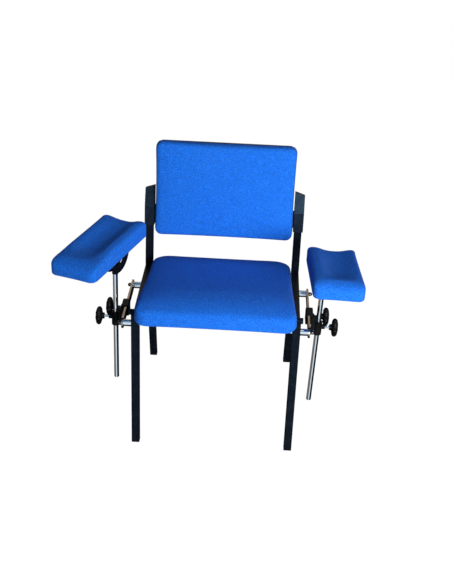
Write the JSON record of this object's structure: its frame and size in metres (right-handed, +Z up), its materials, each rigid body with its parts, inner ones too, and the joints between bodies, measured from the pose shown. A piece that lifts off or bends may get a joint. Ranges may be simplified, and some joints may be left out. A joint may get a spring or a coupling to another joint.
{
  "type": "phlebotomy chair",
  "caption": "Blood-draw chair: square-tube frame, upholstered seat and back, and on each side a gutter-shaped arm pad on a post that slides, lifts, swivels and tilts.",
  "frame": {"origin": "on the floor, in the middle of the area that the whole chair covers", "axes": "+Z up along the height, +Y towards the chair's back, +X towards the left hand of whoever sits in it"},
  "size_m": [0.9225, 0.7053, 0.8898],
  "materials": {
    "frame_paint": "satin dark blue-black",
    "moulded_black": "matte",
    "blue_fabric": "woven, slight sheen",
    "plywood": "bare",
    "bright_chrome": "polished",
    "zinc_steel": "zinc plated",
    "dark_screws": "black",
    "clamp_enamel": "satin black",
    "knob_plastic": "gloss black"
  },
  "bodies": {
    "frame": {"front_leg_left": "frame_paint", "front_leg_right": "frame_paint", "rear_leg_left": "frame_paint", "rear_leg_right": "frame_paint", "side_rail_left": "frame_paint", "side_rail_right": "frame_paint", "cross_tube": "frame_paint", "cross_tube_plugs": "moulded_black", "seat_rail": "frame_paint", "front_glides": "moulded_black", "rear_glides": "moulded_black", "seat_board": "plywood", "seat_cushion": "blue_fabric", "seat_bolts": "zinc_steel", "back_board": "plywood", "back_cushion": "blue_fabric", "back_cover": "moulded_black", "back_screws": "zinc_steel", "cover_screws": "dark_screws", "back_sleeve_left": "moulded_black", "back_sleeve_right": "moulded_black", "rail_bar_left": "bright_chrome", "rail_bar_right": "bright_chrome", "rail_spacers_left": "bright_chrome", "rail_spacers_right": "bright_chrome", "rail_bolts_left": "bright_chrome", "rail_bolts_right": "bright_chrome", "rail_nuts_left": "bright_chrome", "rail_nuts_right": "bright_chrome"},
    "clamp_left": {"clamp_body_left": "clamp_enamel"},
    "rail_knob_left": {"rail_knob_left": "knob_plastic", "rail_screw_left": "bright_chrome"},
    "post_knob_left": {"post_knob_left": "knob_plastic", "post_screw_left": "bright_chrome"},
    "post_left": {"post_left": "bright_chrome"},
    "head_left": {"tilt_head_left": "clamp_enamel", "tilt_pivot_bolt_left": "zinc_steel", "tilt_lock_bolt_left": "zinc_steel"},
    "pad_left": {"tilt_bracket_left": "clamp_enamel", "pad_board_left": "plywood", "pad_screws_left": "zinc_steel", "arm_pad_left": "blue_fabric"},
    "clamp_right": {"clamp_body_right": "clamp_enamel"},
    "rail_knob_right": {"rail_knob_right": "knob_plastic", "rail_screw_right": "bright_chrome"},
    "post_knob_right": {"post_knob_right": "knob_plastic", "post_screw_right": "bright_chrome"},
    "post_right": {"post_right": "bright_chrome"},
    "head_right": {"tilt_head_right": "clamp_enamel", "tilt_pivot_bolt_right": "zinc_steel", "tilt_lock_bolt_right": "zinc_steel"},
    "pad_right": {"tilt_bracket_right": "clamp_enamel", "pad_board_right": "plywood", "pad_screws_right": "zinc_steel", "arm_pad_right": "blue_fabric"}
  },
  "joints": [
    {"name": "clamp_slide_left", "type": "slide", "parent": "frame", "child": "clamp_left", "axis": [0, 1, 0], "range_m": [-0.05, 0.115]},
    {"name": "rail_knob_turn_left", "type": "hinge", "parent": "clamp_left", "child": "rail_knob_left", "pos_m": [-0.26201, -0.09729, 0.434], "axis": [-1, 0, 0], "range_deg": [0, 720]},
    {"name": "post_knob_turn_left", "type": "hinge", "parent": "clamp_left", "child": "post_knob_left", "pos_m": [-0.29101, -0.13129, 0.417], "axis": [-1, 0, 0], "range_deg": [0, 720]},
    {"name": "post_height_left", "type": "slide", "parent": "clamp_left", "child": "post_left", "axis": [0, 0, 1], "range_m": [-0.095, 0.15]},
    {"name": "pad_swivel_left", "type": "hinge", "parent": "post_left", "child": "head_left", "pos_m": [-0.29101, -0.13129, 0.602], "axis": [0, 0, 1], "range_deg": [-110, 70]},
    {"name": "pad_tilt_left", "type": "hinge", "parent": "head_left", "child": "pad_left", "pos_m": [-0.29101, -0.13129, 0.634], "axis": [-0.9397, 0.342, 0], "range_deg": [-26, 34]},
    {"name": "clamp_slide_right", "type": "slide", "parent": "frame", "child": "clamp_right", "axis": [0, 1, 0], "range_m": [-0.056, 0.11]},
    {"name": "rail_knob_turn_right", "type": "hinge", "parent": "clamp_right", "child": "rail_knob_right", "pos_m": [0.31839, -0.09129, 0.434], "axis": [1, 0, 0], "range_deg": [0, 720]},
    {"name": "post_knob_turn_right", "type": "hinge", "parent": "clamp_right", "child": "post_knob_right", "pos_m": [0.34663, -0.12529, 0.41701], "axis": [0.9994, 0, -0.0349], "range_deg": [0, 720]},
    {"name": "post_height_right", "type": "slide", "parent": "clamp_right", "child": "post_right", "axis": [0.0349, 0, 0.9994], "range_m": [-0.04, 0.205]},
    {"name": "pad_swivel_right", "type": "hinge", "parent": "post_right", "child": "head_right", "pos_m": [0.35127, -0.12529, 0.54993], "axis": [-0.0349, 0, -0.9994], "range_deg": [-88, 90]},
    {"name": "pad_tilt_right", "type": "hinge", "parent": "head_right", "child": "pad_right", "pos_m": [0.35238, -0.12529, 0.58191], "axis": [-0.999, -0.0262, 0.0349], "range_deg": [-37, 23]}
  ]
}
